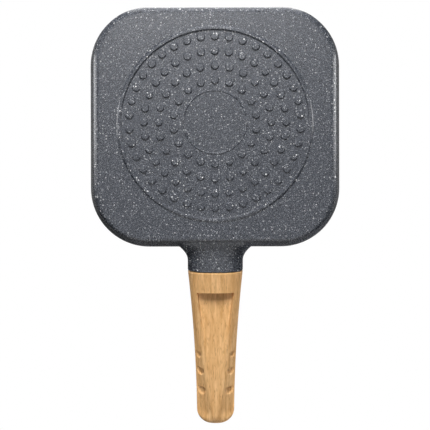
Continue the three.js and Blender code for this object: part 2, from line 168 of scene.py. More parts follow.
# Fineness of curved faces
CORNER_STEPS = 20
FILLET_STEPS = 10
ROUND_STEPS = 4
STUD_SIDES = 28
FOOT_RING_SIDES = 216
CENTRE_RING_SIDES = 120
NECK_SIDES = 96
BORE_SIDES = 64
HEXAGON_SIDES = 6
GRIP_PITCH = 0.6
GRIP_FINE_PITCH = 0.15
GRIP_FINE_REACH = 4 * GRIP_PITCH
TOP_COLUMNS = 56
FLANK_COLUMNS = 26
SIDE_COLUMNS = 10
FLOOR_COLUMNS = 24
LEAST_FLAT = 1.5
MOST_FLAT_SHARE = 0.9
END_HALVINGS = 24

# Meshes
FILL_INSIDE = 1
FILL_TOLERANCE = 1e-5
SAME_POINT = MM / 1000
SHARP_ANGLE = 48
FLAT_WEIGHT = 60

# Places that follow from the sizes
BASE = STUD_HEIGHT
FLOOR_TOP = BASE + FLOOR
RIB_TOP = BODY_HEIGHT - RIB_DROP
JOINT_REACH = RIM_DEPTH / 2 + NECK_LENGTH
RISE = math.radians(HANDLE_RISE)
WALL_MIDDLE = RIM_DEPTH / 2 - WALL_FLARE / 2
NECK_HEIGHT = BODY_HEIGHT - NECK_DROP - NECK_THICKNESS / 2
JOINT_HEIGHT = NECK_HEIGHT + (JOINT_REACH - WALL_MIDDLE) * math.tan(RISE)
FOOT_RING_RADIUS = RIM_DEPTH / 2 - WALL_FLARE - BASE_FILLET - FOOT_RING_MARGIN
FIRST_STUD_RING = CENTRE_RING_RADIUS + STUD_RING_MARGIN
LAST_STUD_RING = FOOT_RING_RADIUS - STUD_RING_MARGIN
STUD_RING_PITCH = (LAST_STUD_RING - FIRST_STUD_RING) / (len(STUD_COUNTS) - 1)
FLAT_LENGTH = GRIP_LENGTH - FLAT_START - FLAT_END_MARGIN
BORE_DIAMETER = WASHER_DIAMETER + 2 * BORE_ROOM
FIXING_LIFT = SCOOP_DEPTH + BORE_TO_SCOOP + BORE_DIAMETER / 2 - NECK_THICKNESS / 2
POCKET_CORNERS = (INSERT_ACROSS + 2 * CLEARANCE) / math.cos(math.pi / HEXAGON_SIDES)
SPIGOT_THICKNESS = POCKET_CORNERS + 2 * SPIGOT_WALL
SPIGOT_LENGTH = FLAT_START - SPIGOT_TO_SCOOP
SOCKET_DEPTH = SPIGOT_LENGTH + 2 * CLEARANCE
SHOULDER = SOCKET_DEPTH + GRIP_WEB
HEAD_PLACE = SHOULDER + 3 * CLEARANCE + WASHER_THICKNESS + SPRING_THICKNESS
HOLE_DIAMETER = SCREW_DIAMETER + 2 * CLEARANCE

# Where the frame has the pan's middle: its far edge is the farthest point along +Y
RIM_LIP = WALL_FLARE * EDGE_ROUND / (BODY_HEIGHT - BASE)
PAN_CENTRE = CAD_BOX[1].y / MM - RIM_DEPTH / 2 + RIM_LIP
PAN_PLACE = Matrix.Translation((0, PAN_CENTRE, 0))
HANDLE_PLACE = (
    PAN_PLACE
    @ Matrix.Translation((0, -JOINT_REACH, JOINT_HEIGHT))
    @ Matrix.Rotation(math.pi / 2 - RISE, 4, "X")
)


def smooth(value):
    """From 0 to 1 with level ends."""
    value = np.clip(value, 0, 1)
    return value * value * (3 - 2 * value)


def eased(steps):
    """Steps of a quarter turn, as pairs of 1 - cos and 1 - sin of the angle."""
    for step in range(steps + 1):
        angle = step / steps * math.pi / 2
        yield 1 - math.cos(angle), 1 - math.sin(angle)


def rounded_path(points, run, steps):
    """A path of straight stretches whose inner corners are curves that start a run before the corner."""
    path = [Vector(points[0])]
    for before, corner, after in zip(points, points[1:], points[2:]):
        corner = Vector(corner)
        start = corner + (Vector(before) - corner).normalized() * run
        end = corner + (Vector(after) - corner).normalized() * run
        for step in range(steps + 1):
            share = step / steps
            path.append(start.lerp(corner, share).lerp(corner.lerp(end, share), share))
    path.append(Vector(points[-1]))
    return path


class Skin:
    """The points and faces of one closed piece, in millimetres."""

    def __init__(self):
        self.points = []
        self.faces = []

    def ring(self, points):
        first = len(self.points)
        self.points.extend(Vector(point) for point in points)
        return list(range(first, len(self.points)))

    def bridge(self, lower, upper):
        for i in range(len(lower)):
            self.faces.append((lower[i - 1], lower[i], upper[i], upper[i - 1]))

    def loft(self, rings):
        """Joins rings of equal counts and returns the first and the last one."""
        loops = [self.ring(ring) for ring in rings]
        for lower, upper in zip(loops, loops[1:]):
            self.bridge(lower, upper)
        return loops[0], loops[-1]

    def cap(self, loop):
        self.faces.append(tuple(loop))

    def fill(self, loops):
        """Covers what lies inside an odd number of loops, seen along Z."""
        numbers = [i for loop in loops for i in loop]
        places = [self.points[i].to_2d() for i in numbers]
        outlines = []
        first = 0
        for loop in loops:
            outlines.append(list(range(first, first + len(loop))))
            first += len(loop)
        found = delaunay_2d_cdt(places, [], outlines, FILL_INSIDE, FILL_TOLERANCE)
        _, _, corners, sources, _, insides = found
        for face, inside in zip(corners, insides):
            if len(inside) % 2:
                self.faces.append(tuple(numbers[sources[i][0]] for i in face))

    def mesh(self, name, place):
        """The closed mesh in metres, with its faces turned outwards."""
        shape = bmesh.new()
        scale = Matrix.Scale(MM, 4)
        corners = [shape.verts.new(scale @ place @ point) for point in self.points]
        for face in self.faces:
            shape.faces.new([corners[i] for i in face])
        bmesh.ops.remove_doubles(shape, verts=shape.verts, dist=SAME_POINT)
        bmesh.ops.dissolve_degenerate(shape, edges=shape.edges, dist=SAME_POINT)
        bmesh.ops.recalc_face_normals(shape, faces=shape.faces)
        data = bpy.data.meshes.new(name)
        shape.to_mesh(data)
        shape.free()
        return data


def add_object(name, data):
    piece = bpy.data.objects.new(name, data)
    bpy.context.scene.collection.objects.link(piece)
    return piece


def combine(piece, tools):
    """Joins or cuts a piece with other meshes, and keeps the result as its mesh."""
    helpers = []
    for operation, data in tools:
        helper = add_object(piece.name + "_tool", data)
        step = piece.modifiers.new(operation, "BOOLEAN")
        step.operation = operation
        step.object = helper
        step.solver = "EXACT"
        helpers.append(helper)
    graph = bpy.context.evaluated_depsgraph_get()
    result = bpy.data.meshes.new_from_object(piece.evaluated_get(graph))
    piece.modifiers.clear()
    piece.data = result
    for helper in helpers:
        bpy.data.objects.remove(helper)


def dress(piece, material, slot, *nodes):
    """Smooth shading with level flats, the piece's material, and its place in the frame."""
    piece.data.materials.clear()
    piece.data.materials.append(material)
    piece.data.shade_smooth()
    piece.data.set_sharp_from_angle(angle=math.radians(SHARP_ANGLE))
    level = piece.modifiers.new("level_flats", "WEIGHTED_NORMAL")
    level.mode = "FACE_AREA"
    level.weight = FLAT_WEIGHT
    level.keep_sharp = True
    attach(piece, "root")
    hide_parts(*nodes)


# Pan body


def wall_inset(z):
    """How far the outer wall stands inside the rim at one height."""
    return WALL_FLARE * (BODY_HEIGHT - z) / (BODY_HEIGHT - BASE)


def corner_arc(middle_x, middle_y, radius, quarter):
    """Points of a rounded corner in one quarter of a turn."""
    for step in range(CORNER_STEPS + 1):
        angle = (quarter + step / CORNER_STEPS) * math.pi / 2
        yield middle_x + radius * math.cos(angle), middle_y + radius * math.sin(angle)


# Signs of X and Y in the four quarters of a turn
QUARTERS = ((1, 1), (-1, 1), (-1, -1), (1, -1))


def outline(inset, z):
    """The pan's outline at one height, inset from the rim."""
    points = []
    for quarter, (side_x, side_y) in enumerate(QUARTERS):
        middle_x = side_x * (RIM_WIDTH / 2 - RIM_CORNER)
        middle_y = side_y * (RIM_DEPTH / 2 - RIM_CORNER)
        arc = corner_arc(middle_x, middle_y, RIM_CORNER - inset, quarter)
        points.extend((x, y, z) for x, y in arc)
    return points


def fillet_ring(fillet, up, away):
    """A ring of the curve between base and wall."""
    z = BASE + fillet * up
    return np.array(outline(wall_inset(z) + fillet * away, z))


def outside_rings():
    """Rings from the base to the rim. The curve under the near wall is a tighter one."""
    rings = []
    corner_start = RIM_DEPTH / 2 - RIM_CORNER
    for up, away in eased(FILLET_STEPS):
        ring = fillet_ring(BASE_FILLET, up, away)
        near = smooth((-ring[:, 1:2] - corner_start) / RIM_CORNER)
        ring = ring + (fillet_ring(NEAR_BASE_FILLET, up, away) - ring) * near
        rings.append(ring.tolist())
    shoulder = BODY_HEIGHT - EDGE_ROUND
    for away, left in eased(FILLET_STEPS):
        z = BODY_HEIGHT - EDGE_ROUND * left
        rings.append(outline(wall_inset(shoulder) + EDGE_ROUND * away, z))
    return rings


def rib_half(z):
    """Half a rib's thickness at one height."""
    share = (z - FLOOR_TOP) / (RIB_TOP - FLOOR_TOP)
    return (RIB + (RIB_TOP_WIDTH - RIB) * share) / 2


def section_levels():
    """Heights of a section's rings as (wall height, rib height, wall spread, rib spread)."""
    levels = []
    for up, away in eased(FILLET_STEPS):
        heights = (FLOOR_TOP + WALL_FILLET * up, FLOOR_TOP + RIB_FILLET * up)
        levels.append((*heights, WALL_FILLET * away, RIB_FILLET * away))
    for away, left in eased(FILLET_STEPS):
        heights = (BODY_HEIGHT - EDGE_ROUND * left, RIB_TOP - EDGE_ROUND * left)
        levels.append((*heights, -EDGE_ROUND * away, -EDGE_ROUND * away))
    return levels


def section_ring(sides, level):
    """One ring of a section.

    Its sides, right, far, left and near, are None where the pan's wall is, or else the place of a rib.
    """
    wall_z, rib_z, wall_spread, rib_spread = level
    inset = WALL + wall_inset(wall_z) + wall_spread
    half = rib_half(rib_z) + rib_spread
    right, far, left, near = sides
    edge_x = (
        RIM_WIDTH / 2 - inset if right is None else right - half,
        inset - RIM_WIDTH / 2 if left is None else left + half,
    )
    edge_y = (
        RIM_DEPTH / 2 - inset if far is None else far - half,
        inset - RIM_DEPTH / 2 if near is None else near + half,
    )
    points = []
    for quarter, (side_x, side_y) in enumerate(QUARTERS):
        pair = (sides[quarter], sides[(quarter + 1) % 4])
        radius = SECTION_CORNER - (wall_spread + rib_spread) / 2
        if pair == (None, None):
            radius = RIM_CORNER - inset
        middle_x = edge_x[0 if side_x > 0 else 1] - side_x * radius
        middle_y = edge_y[0 if side_y > 0 else 1] - side_y * radius
        first, second = (0 if side is None else 1 for side in pair)
        for step, (x, y) in enumerate(corner_arc(middle_x, middle_y, radius, quarter)):
            to_rib = first + (second - first) * smooth(step / CORNER_STEPS)
            points.append((x, y, wall_z + (rib_z - wall_z) * to_rib))
    return points


def turned(profile, sides, middle=(0, 0), start=0.0):
    """Rings of a profile of (radius, height below the base) turned round an upright axis."""
    rings = []
    for radius, drop in profile:
        ring = []
        for i in range(sides):
            angle = start + 2 * math.pi * i / sides
            x = middle[0] + radius * math.cos(angle)
            y = middle[1] + radius * math.sin(angle)
            ring.append((x, y, BASE - drop))
        rings.append(ring)
    return rings


def raised_ring(skin, radius, flat, inner_run, outer_run, height, edge_round, sides, middle=(0, 0)):
    """A ridge with a flat underside between two slopes, and its two edges on the base."""
    inner, outer = radius - flat / 2, radius + flat / 2
    corners = [
        (outer + outer_run + edge_round, 0),
        (outer + outer_run, 0),
        (outer, height),
        (inner, height),
        (inner - inner_run, 0),
        (inner - inner_run - edge_round, 0),
    ]
    return skin.loft(turned(rounded_path(corners, edge_round, ROUND_STEPS), sides, middle))


def base_studs(skin):
    """The studs in their rings, and their edges on the base."""
    root = STUD_WIDTH / 2
    tip = STUD_TIP_WIDTH / 2
    corners = [(root + STUD_ROUND, 0), (root, 0), (tip, STUD_HEIGHT), (tip / 2, STUD_HEIGHT)]
    profile = rounded_path(corners, STUD_ROUND, ROUND_STEPS)
    edges = []
    for ring, count in enumerate(STUD_COUNTS):
        radius = FIRST_STUD_RING + ring * STUD_RING_PITCH
        for i in range(count):
            angle = math.pi / 2 + 2 * math.pi * i / count
            middle = (radius * math.cos(angle), STUD_RINGS_SHIFT + radius * math.sin(angle))
            edge, top = skin.loft(turned(profile, STUD_SIDES, middle, angle))
            skin.cap(top)
            edges.append(edge)
    return edges


def pan_shell():
    """Base, walls, rim and the three sections as one closed skin."""
    skin = Skin()
    base_edge, rim_edge = skin.loft(outside_rings())
    foot = raised_ring(
        skin, FOOT_RING_RADIUS, FOOT_RING_FLAT, FOOT_RING_INNER_RUN, FOOT_RING_OUTER_RUN,
        STUD_HEIGHT, FOOT_RING_ROUND, FOOT_RING_SIDES)
    centre = raised_ring(
        skin, CENTRE_RING_RADIUS, CENTRE_RING_FLAT, CENTRE_RING_RUN, CENTRE_RING_RUN,
        CENTRE_RING_HEIGHT, CENTRE_RING_ROUND, CENTRE_RING_SIDES, (0, STUD_RINGS_SHIFT))
    skin.fill([base_edge, *foot, *centre, *base_studs(skin)])
    section_edges = []
    for sides in (
        (None, None, None, CROSS_RIB_PLACE),
        (None, CROSS_RIB_PLACE, 0, None),
        (0, CROSS_RIB_PLACE, None, None),
    ):
        rings = [section_ring(sides, level) for level in section_levels()]
        floor, edge = skin.loft(rings)
        skin.cap(floor)
        section_edges.append(edge)
    skin.fill([rim_edge, *section_edges])
    return skin


# Handle, in its own axes: X across, Y up, Z along the handle from the joint


def bar(rings):
    """A closed piece through rings of equal counts."""
    skin = Skin()
    start, end = skin.loft(rings)
    skin.cap(start)
    skin.cap(end)
    return skin


def oval_points(sides):
    """Points of an oval one unit wide and high to each side, counter-clockwise."""
    angles = 2 * np.pi * np.arange(sides) / sides
    x, y = np.cos(angles), np.sin(angles)
    power = 2 / OVAL_FULLNESS
    return np.sign(x) * np.abs(x) ** power, np.sign(y) * np.abs(y) ** power


def oval(width, thickness, z, sides, lift=0.0):
    """A ring of the handle's full oval."""
    x, y = oval_points(sides)
    return [(width / 2 * a, lift + thickness / 2 * b, z) for a, b in zip(x, y)]


def circle(diameter, z, sides, turn=0.0):
    """A ring round the line of the screw."""
    ring = []
    for i in range(sides):
        angle = turn + 2 * math.pi * i / sides
        x = diameter / 2 * math.cos(angle)
        ring.append((x, FIXING_LIFT + diameter / 2 * math.sin(angle), z))
    return ring


def wall_place(height):
    """Where the handle's line at one height over its axis meets the pan's outer wall."""
    flare = WALL_FLARE / (BODY_HEIGHT - BASE)
    lean = math.sin(RISE) + flare * math.cos(RISE)
    reach = NECK_LENGTH - height * lean + flare * (BODY_HEIGHT - JOINT_HEIGHT)
    return -reach / (math.cos(RISE) - flare * math.sin(RISE))


def neck_ring(share):
    """A ring of the neck, from inside the wall at share 0 to the joint's edge at share 1."""
    ring = []
    for a, b in zip(*oval_points(NECK_SIDES)):
        surface = wall_place(NECK_THICKNESS / 2 * b)
        start = surface - NECK_SUNK
        z = start + (-NECK_EDGE_ROUND - start) * share
        from_wall = max(0.0, z - surface)
        flare = max(0.0, 1 - from_wall / NECK_FLARE_LENGTH) ** 2
        under = max(0.0, 1 - from_wall / NECK_UNDER_LENGTH) ** 2
        x = (NECK_WIDTH / 2 + NECK_FLARE * flare) * a
        y = NECK_THICKNESS / 2 * b + NECK_UNDER_FLARE * under * min(b, 0)
        ring.append((x, y, z))
    return ring


def neck():
    """The neck, sunk into the wall, with its rounded joint edge and its spigot."""
    steps = 2 * FILLET_STEPS
    rings = [neck_ring(step / steps) for step in range(steps + 1)]
    for away, left in eased(FILLET_STEPS):
        narrowed = 2 * NECK_EDGE_ROUND * away
        width, thickness = NECK_WIDTH - narrowed, NECK_THICKNESS - narrowed
        rings.append(oval(width, thickness, -NECK_EDGE_ROUND * left, NECK_SIDES))
    for z in (0, SPIGOT_LENGTH):
        rings.append(oval(SPIGOT_WIDTH, SPIGOT_THICKNESS, z, NECK_SIDES, FIXING_LIFT))
    return bar(rings)


def insert_pocket():
    """The hexagon pocket for the thread insert, open at the spigot's end."""
    places = (SPIGOT_LENGTH - INSERT_LENGTH - CLEARANCE, SPIGOT_LENGTH + CUT_PAST)
    return bar([circle(POCKET_CORNERS, z, HEXAGON_SIDES, math.pi / HEXAGON_SIDES) for z in places])


def screw_tip_room():
    """The hole behind the insert that the screw's tip reaches into."""
    tip = HEAD_PLACE - SCREW_LENGTH - SCREW_TIP_ROOM
    return bar([circle(HOLE_DIAMETER, z, BORE_SIDES) for z in (tip, SPIGOT_LENGTH)])


def make_pan_body(material):
    body = add_object("pan_casting", pan_shell().mesh("pan_casting", PAN_PLACE))
    combine(body, [
        ("UNION", neck().mesh("neck", HANDLE_PLACE)),
        ("DIFFERENCE", insert_pocket().mesh("insert_pocket", HANDLE_PLACE)),
        ("DIFFERENCE", screw_tip_room().mesh("screw_tip_room", HANDLE_PLACE)),
    ])
    dress(body, material, "coat", "pan_body")


# Grip


def drawn_in(radius, past):
    """How far a rounded edge is drawn in at a distance past its start."""
    return radius - math.sqrt(max(0.0, radius ** 2 - max(0.0, past) ** 2))


def half_size_at(z, front, end, radius):
    """Half the grip's width or thickness at one place, with its rounded end and broken front edge."""
    ease = (1 - z / GRIP_LENGTH) ** 2
    rear = drawn_in(radius, z - GRIP_LENGTH + radius)
    broken = drawn_in(GRIP_FRONT_ROUND, CLEARANCE + GRIP_FRONT_ROUND - z)
    return (end + (front - end) * ease) / 2 - rear - broken


def half_width_at(z):
    return half_size_at(z, NECK_WIDTH, GRIP_END_WIDTH, GRIP_END_ROUND)


def half_thickness_at(z):
    return half_size_at(z, NECK_THICKNESS, GRIP_END_THICKNESS, GRIP_END_UNDER_ROUND)


def flat_half_width_at(z):
    """Half the width of the tapering flat that the scoop is sunk into."""
    left = max(0.0, 1 - (z - FLAT_START) / FLAT_LENGTH)
    return (half_width_at(FLAT_START) - FLAT_SIDE_MARGIN) * min(1.0, left) ** FLAT_TAPER


def flank_at(z, across):
    """Height and slope of a flank at a distance from the middle. It is steepest at the flat's edge."""
    flat = flat_half_width_at(z)
    run = half_width_at(z) - flat
    rise = max(0.0, half_thickness_at(z) - FLANK_TOP)
    share = (across - flat) / run
    height = rise * share * (1 + FLANK_HOLLOW * (1 - share)) - half_thickness_at(z)
    return height, rise / run * (1 + FLANK_HOLLOW * (1 - 2 * share))


def scoop_depth_at(z):
    """How deep the scoop is at one place: deepest behind its front wall."""
    left = np.clip(1 - (z - FLAT_START) / SCOOP_LENGTH, 0, 1)
    front = smooth((z - FLAT_START) / SCOOP_FRONT_RUN + 0.5)
    return SCOOP_DEPTH * left ** SCOOP_EASE * front


def underside(x, z):
    """Heights of the grip's underside across its width at one place: oval, flanks and scoop."""
    half_width, half_thickness = half_width_at(z), half_thickness_at(z)
    across = np.clip(np.abs(x) / half_width, 0, 1)
    height = -half_thickness * (1 - across ** OVAL_FULLNESS) ** (1 / OVAL_FULLNESS)
    if z < FLAT_START - SCOOP_FRONT_RUN:
        return height
    flat = flat_half_width_at(z)
    from_middle = np.sqrt(x * x + KEEL_ROUND ** 2) - KEEL_ROUND
    flank, _ = flank_at(z, from_middle)
    apart = height - flank
    trimmed = (height + flank + np.sqrt(apart ** 2 + FLANK_SOFTNESS ** 2)) / 2
    ends = smooth((z - FLAT_START) / FLAT_SIDE_MARGIN) * smooth((GRIP_LENGTH - z) / GRIP_END_ROUND)
    height = height + (trimmed - height) * ends * smooth((half_width - np.abs(x)) / FLANK_SOFTNESS)
    floor = scoop_depth_at(z) - half_thickness
    sunk = smooth((flat - SCOOP_RIM - np.abs(x)) / SCOOP_SIDE_RUN)
    return height + np.maximum(0, floor - height) * sunk


def grip_ring(z):
    """One ring round the grip, with its columns following the flat's edges."""
    half_width, half_thickness = half_width_at(z), half_thickness_at(z)
    turn = np.pi * np.arange(TOP_COLUMNS + 1) / TOP_COLUMNS
    power = 2 / OVAL_FULLNESS
    top_x = half_width * np.sign(np.cos(turn)) * np.abs(np.cos(turn)) ** power
    top_y = half_thickness * np.abs(np.sin(turn)) ** power
    top_y[[0, -1]] = 0
    flat = min(max(flat_half_width_at(z), LEAST_FLAT), MOST_FLAT_SHARE * half_width)
    side = max(flat - SCOOP_RIM - SCOOP_SIDE_RUN, LEAST_FLAT / 2)
    inner = np.arcsin(min(1.0, (flat / half_width) ** (1 / power)))
    flank_turn = np.pi / 2 + (inner - np.pi / 2) * np.arange(1, FLANK_COLUMNS + 1) / FLANK_COLUMNS
    flank = half_width * np.sin(flank_turn) ** power
    wall = flat + (side - flat) * np.arange(1, SIDE_COLUMNS + 1) / SIDE_COLUMNS
    floor = side * (1 - 2 * np.arange(1, FLOOR_COLUMNS) / FLOOR_COLUMNS)
    low_x = np.concatenate([-flank, -wall, -floor, wall[::-1], flank[::-1]])
    x = np.concatenate([top_x, low_x])
    y = np.concatenate([top_y, underside(low_x, z)])
    return np.stack([x, y, np.full_like(x, z)], axis=1)


def grip_places():
    """Places along the grip, closer together at the scoop's front, the notches' steps and both ends."""
    straight = GRIP_LENGTH - GRIP_END_ROUND
    fine = [FLAT_START] + [GRIP_LENGTH - place for place in NOTCH_PLACES]
    places = {CLEARANCE + GRIP_FRONT_ROUND * up for up, _ in eased(FILLET_STEPS)}
    places |= {straight + GRIP_END_ROUND * (1 - left) for _, left in eased(2 * FILLET_STEPS)}
    place = CLEARANCE + GRIP_FRONT_ROUND
    while place < straight:
        near = min(abs(place - spot) for spot in fine)
        place += GRIP_FINE_PITCH if near < GRIP_FINE_REACH else GRIP_PITCH
        if place < straight:
            places.add(place)
    return sorted(places)


def cut_notch(points, place, radius, inset, side):
    """Sinks a dish into one flank, with a flat floor, a curved rim and a straight step to the neck."""
    to_step = NOTCH_STEP_SHARE * radius
    z = GRIP_LENGTH - place + to_step
    across = half_width_at(z) - inset
    height, slope = flank_at(z, across)
    outward = np.array([side * slope, -1, 0]) / math.hypot(slope, 1)
    along = np.array([0.0, 0.0, 1.0])
    turn = -side * math.radians(NOTCH_TURN)
    sideways = np.cross(outward, along)
    step_line = along * math.cos(turn) + sideways * math.sin(turn)
    away = points - np.array([side * across, height, z])
    level = away @ outward
    run = away @ step_line
    spread = np.sqrt(np.maximum(0, (away ** 2).sum(axis=1) - level ** 2)) / radius
    rim = np.clip((spread - 1) / NOTCH_RIM_SHARE + 1, 0, 1)
    dish = NOTCH_DEPTH * (1 - rim ** 2)
    dish *= smooth((run + to_step) / NOTCH_STEP_RUN + 0.5)
    dish *= np.abs(level) < radius / 2
    points -= dish[:, None] * outward


def grip_outside():
    """The grip's outer skin with its pairs of notches."""
    rings = np.stack([grip_ring(z) for z in grip_places()])
    points = rings.reshape(-1, 3)
    for notch in zip(NOTCH_PLACES, NOTCH_RADII, NOTCH_INSETS):
        for side in (1, -1):
            cut_notch(points, *notch, side)
    return bar(points.reshape(rings.shape))


def grip_bore():
    """Socket for the spigot, screw hole and screw bore, on one line."""
    socket = (SPIGOT_WIDTH + 2 * CLEARANCE, SPIGOT_THICKNESS + 2 * CLEARANCE)
    return bar([
        oval(*socket, -CUT_PAST, BORE_SIDES, FIXING_LIFT),
        oval(*socket, SOCKET_DEPTH, BORE_SIDES, FIXING_LIFT),
        circle(HOLE_DIAMETER, SOCKET_DEPTH, BORE_SIDES),
        circle(HOLE_DIAMETER, SHOULDER, BORE_SIDES),
        circle(BORE_DIAMETER, SHOULDER, BORE_SIDES),
        circle(BORE_DIAMETER, GRIP_LENGTH + CUT_PAST, BORE_SIDES),
    ])


def make_grip(material):
    grip = add_object("wood_grip", grip_outside().mesh("wood_grip", HANDLE_PLACE))
    combine(grip, [("DIFFERENCE", grip_bore().mesh("grip_bore", HANDLE_PLACE))])
    dress(grip, material, "wood", "handle_grip")


def end_place(x, y):
    """How far along the handle the rounded end lies over one spot."""
    low, high = GRIP_LENGTH - GRIP_END_ROUND, GRIP_LENGTH
    for _ in range(END_HALVINGS):
        middle = (low + high) / 2
        wide = abs(x / half_width_at(middle)) ** OVAL_FULLNESS
        thick = abs(y / half_thickness_at(middle)) ** OVAL_FULLNESS
        if wide + thick < 1:
            low = middle
        else:
            high = middle
    return low


def make_plug(material):
    """The plug, flush with the grip's rounded end and with a fine broken edge."""
    radius = BORE_DIAMETER / 2 - CLEARANCE
    start = GRIP_LENGTH - PLUG_LENGTH
    rings = [
        circle(2 * (radius - PLUG_EDGE), start, BORE_SIDES),
        circle(2 * radius, start + PLUG_EDGE, BORE_SIDES),
    ]
    end_rings = [(1, PLUG_EDGE), (1 - PLUG_EDGE / radius / 2, PLUG_EDGE / 4)]
    end_rings += [(share, 0) for share in PLUG_RING_SHARES]
    for share, drop in end_rings:
        flat = circle(2 * radius * share, 0, BORE_SIDES)
        rings.append([(x, y, end_place(x, y) - drop) for x, y, _ in flat])
    plug = add_object("wood_plug", bar(rings).mesh("wood_plug", HANDLE_PLACE))
    dress(plug, material, "wood", "end_plug")


# Materials

# Specks in the coat: cell spacing and largest radius in mm, share of cells, seed, cover and colour
SPECK_LAYERS = (
    (1.4, 0.6, 0.55, 3.1, 0.85, (12, 14, 18)),
    (0.95, 0.46, 0.7, 0.0, 0.8, (192, 194, 198)),
    (2.1, 0.66, 0.36, 7.7, 1.0, (254, 254, 255)),
)
SPECK_LEAST_SIZE = 0.4
SPECK_LEAST_COVER = 0.25
SPECK_EDGE = 0.75

# Fine patterns in the coat, in periods per metre
COAT_GRAIN = 1900
COAT_CLOUD = 60
COAT_PEEL = 900

# Streaks in the wood, in mm across and along the handle
STREAK_SIZE = (2.8, 50.0)

# Flecks, bands and pores over the streaks: size across and along the handle in mm, detail and roughness
# of the noise, the range of it that shows, cover and colour
GRAIN_LAYERS = (
    ((1.3, 9.0), 2.0, 0.6, (0.4, 0.75), 0.6, (193, 141, 82)),
    ((9.0, 220.0), 2.0, 0.5, (0.4, 0.75), 0.35, (205, 154, 97)),
    ((0.8, 5.0), 1.0, 0.5, (0.6, 0.72), 0.5, (166, 118, 68)),
)

# Turning marks in the steel, in mm across and along the handle
MARK_SIZE = (3.0, 0.25)


class Nodes:
    """A short way to add and link the nodes of a material or of the world."""

    def __init__(self, owner, shader):
        owner.use_nodes = True
        self.tree = owner.node_tree
        self.shader = self.tree.nodes[shader]

    def add(self, kind, links=(), **settings):
        node = self.tree.nodes.new(kind)
        for name, value in settings.items():
            setattr(node, name, value)
        for socket, value in dict(links).items():
            self.set(node, socket, value)
        return node

    def set(self, node, socket, value):
        """Links a socket to another one, or gives it a plain value."""
        if isinstance(value, bpy.types.NodeSocket):
            self.tree.links.new(value, node.inputs[socket])
        else:
            node.inputs[socket].default_value = value

    def shade(self, socket, value):
        """Sets or links a socket of the shader."""
        self.set(self.shader, socket, value)

    def remap(self, value, start, end, low, high):
        links = {0: value, 1: start, 2: end, 3: low, 4: high}
        return self.add("ShaderNodeMapRange", links, interpolation_type="SMOOTHSTEP").outputs[0]

    def maths(self, operation, first, second):
        return self.add("ShaderNodeMath", {0: first, 1: second}, operation=operation).outputs[0]

    def mix(self, share, first, second):
        """A mix of two colours."""
        node = self.add("ShaderNodeMix", data_type="RGBA")
        for socket, value in ((0, share), (6, first), (7, second)):
            self.set(node, socket, value)
        return node.outputs[2]


class Surface(Nodes):
    """The nodes of one piece's material, with patterns that lie fixed in the object."""

    def __init__(self, name):
        self.material = bpy.data.materials.new(name)
        super().__init__(self.material, "Principled BSDF")
        self.place = self.add("ShaderNodeTexCoord").outputs["Object"]

    def along_handle(self, across, along):
        """Coordinates in the handle's axes, scaled to a pattern's size across and along it in mm."""
        size = (across * MM, across * MM, along * MM)
        links = {"Vector": self.place, "Scale": size, "Rotation": (math.pi / 2 - RISE, 0, 0)}
        return self.add("ShaderNodeMapping", links, vector_type="TEXTURE").outputs["Vector"]

    def noise(self, vector, scale, detail=2.0, roughness=0.5):
        links = {"Vector": vector, "Scale": scale, "Detail": detail, "Roughness": roughness}
        return self.add("ShaderNodeTexNoise", links).outputs["Fac"]

    def specks(self, spacing, radius, share, seed):
        """A mask of round specks of various sizes and strengths, at most one in each cell."""
        moved = self.add("ShaderNodeVectorMath", {0: self.place, 1: (seed, seed, seed)}, operation="ADD")
        links = {"Vector": moved.outputs[0], "Scale": 1 / (spacing * MM)}
        cells = self.add("ShaderNodeTexVoronoi", links)
        draws = self.add("ShaderNodeSeparateColor", {0: cells.outputs["Color"]}).outputs
        largest = radius / spacing
        reach = self.maths("MULTIPLY", draws[1], (1 - SPECK_LEAST_SIZE) * largest)
        reach = self.maths("ADD", reach, SPECK_LEAST_SIZE * largest)
        depth = self.maths("DIVIDE", cells.outputs["Distance"], reach)
        round_mask = self.remap(depth, SPECK_EDGE, 1.0, 1.0, 0.0)
        chosen = self.maths("LESS_THAN", draws[0], share)
        cover = self.remap(draws[2], 0.0, 1.0, SPECK_LEAST_COVER, 1.0)
        return self.maths("MULTIPLY", round_mask, self.maths("MULTIPLY", chosen, cover))

    def bump(self, height, strength, distance):
        links = {"Height": height, "Strength": strength, "Distance": distance * MM}
        self.shade("Normal", self.add("ShaderNodeBump", links).outputs["Normal"])


def srgb(red, green, blue):
    """A colour given as it looks on a screen, 0 to 255, in the linear values that shaders take."""
    values = []
    for value in (red, green, blue):
        value /= 255
        values.append(value / 12.92 if value <= 0.04045 else ((value + 0.055) / 1.055) ** 2.4)
    return (*values, 1.0)


def coat_material():
    """Dark grey non-stick coat: fine grain, dark and pale specks of several sizes, satin."""
    nodes = Surface("speckled_coat")
    grain = nodes.noise(nodes.place, COAT_GRAIN, 1.0, 0.6)
    cloud = nodes.noise(nodes.place, COAT_CLOUD, 3.0)
    colour = nodes.mix(nodes.remap(grain, 0.35, 0.65, 0.0, 1.0), srgb(5, 7, 12), srgb(94, 98, 107))
    colour = nodes.mix(nodes.remap(cloud, 0.3, 0.7, 0.0, 0.15), colour, srgb(64, 67, 75))
    for *layer, cover, tone in SPECK_LAYERS:
        mask = nodes.maths("MULTIPLY", nodes.specks(*layer), cover)
        colour = nodes.mix(mask, colour, srgb(*tone))
    nodes.shade("Base Color", colour)
    nodes.shade("Roughness", nodes.remap(grain, 0.2, 0.8, 0.22, 0.32))
    nodes.shade("Specular IOR Level", 0.28)
    nodes.bump(nodes.noise(nodes.place, COAT_PEEL), 0.15, 0.1)
    return nodes.material


